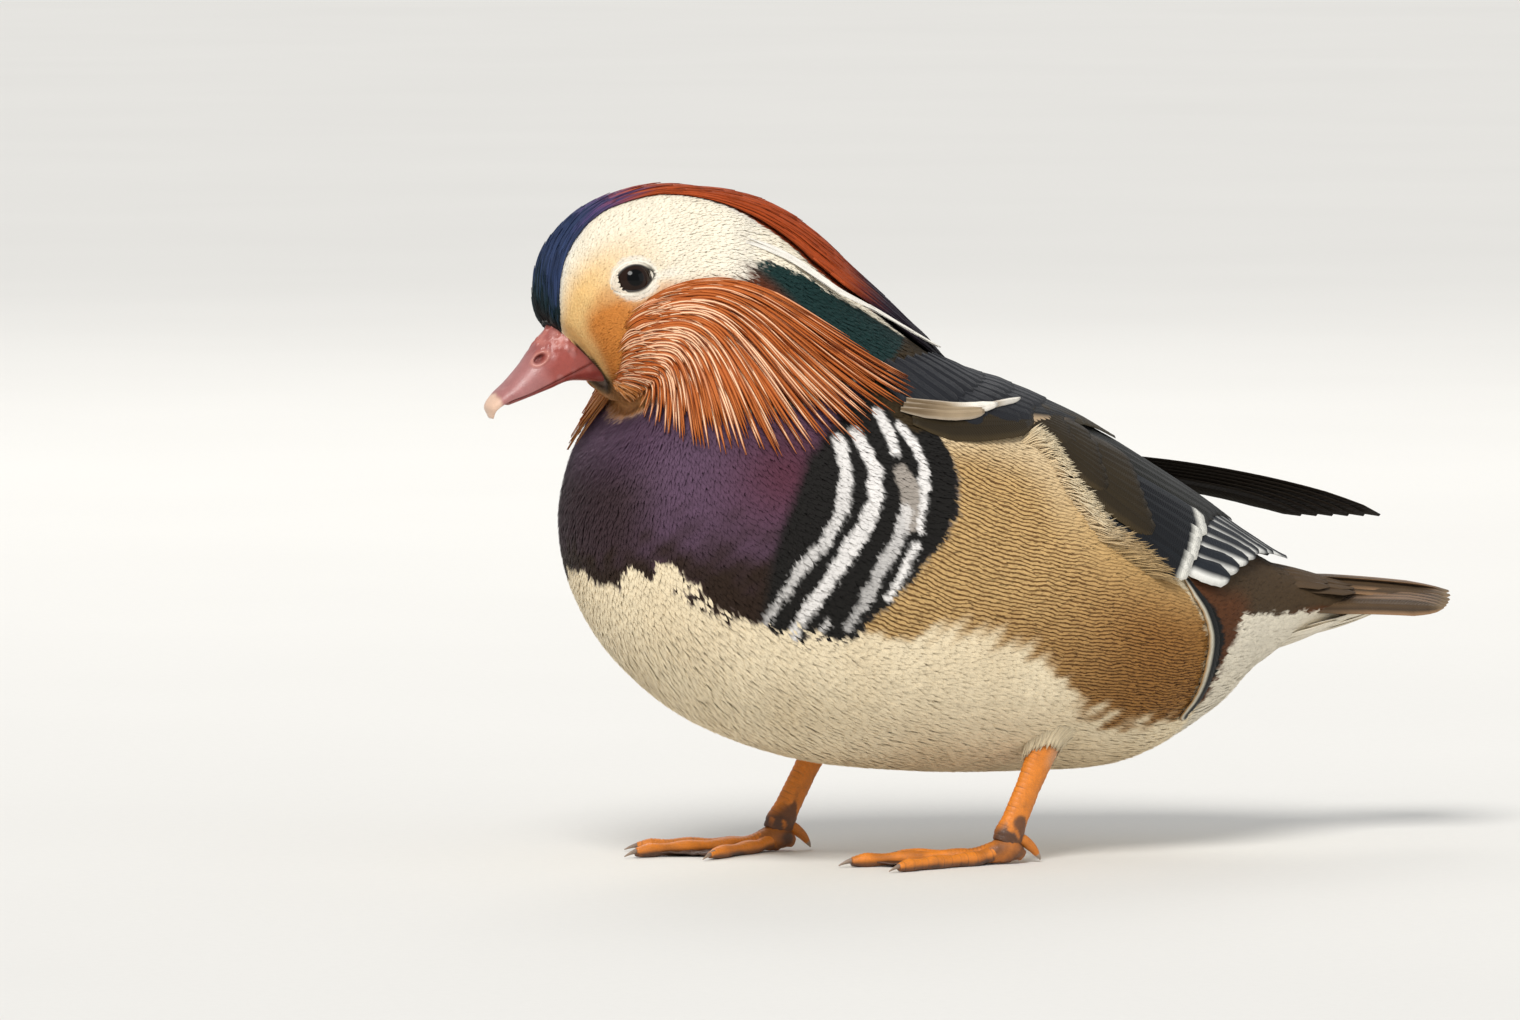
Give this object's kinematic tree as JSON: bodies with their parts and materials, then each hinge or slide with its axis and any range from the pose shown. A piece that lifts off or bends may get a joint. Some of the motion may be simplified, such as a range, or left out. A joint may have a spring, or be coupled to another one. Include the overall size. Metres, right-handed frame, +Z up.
{
  "type": "mandarin duck drake",
  "caption": "Standing mandarin drake in breeding plumage, mid step, with crest, orange ruff, folded wings, fan tail and webbed feet.",
  "frame": {"origin": "on the floor under the middle of the whole model's box", "axes": "+X towards the tail, so the bird looks along -X; -Y is its left side; +Z up"},
  "size_m": [0.3354, 0.1128, 0.2152],
  "materials": {
    "face_plumage": "short soft feathers, cream to buff",
    "neck_plumage": "short soft feathers under the ruff",
    "body_plumage": "close body feathers with purple breast, white bars, golden barred flank and cream belly",
    "crest_plumage": "silky long feathers, blue and purple in front, copper behind",
    "ruff_plumage": "long pointed orange feathers with pale shafts",
    "wing_plumage": "stiff smooth quills, slate and olive with white edges",
    "tail_plumage": "stiff grey-brown quills with pale edges, white below",
    "bill_horn": "dusky pink-red horn with a cream nail",
    "eye_gloss": "wet, near-black",
    "leg_skin": "orange scaled skin with brown webs and grey claws"
  },
  "bodies": {
    "root": {"head": "face_plumage", "neck": "neck_plumage", "torso": "body_plumage", "bill_upper": "bill_horn", "bill_lower": "bill_horn", "eye_left": "eye_gloss", "eye_right": "eye_gloss", "crest": "crest_plumage", "mane_left": "ruff_plumage", "mane_right": "ruff_plumage", "wing_left": "wing_plumage", "wing_right": "wing_plumage", "tail": "tail_plumage", "leg_left": "leg_skin", "leg_right": "leg_skin"}
  },
  "joints": []
}
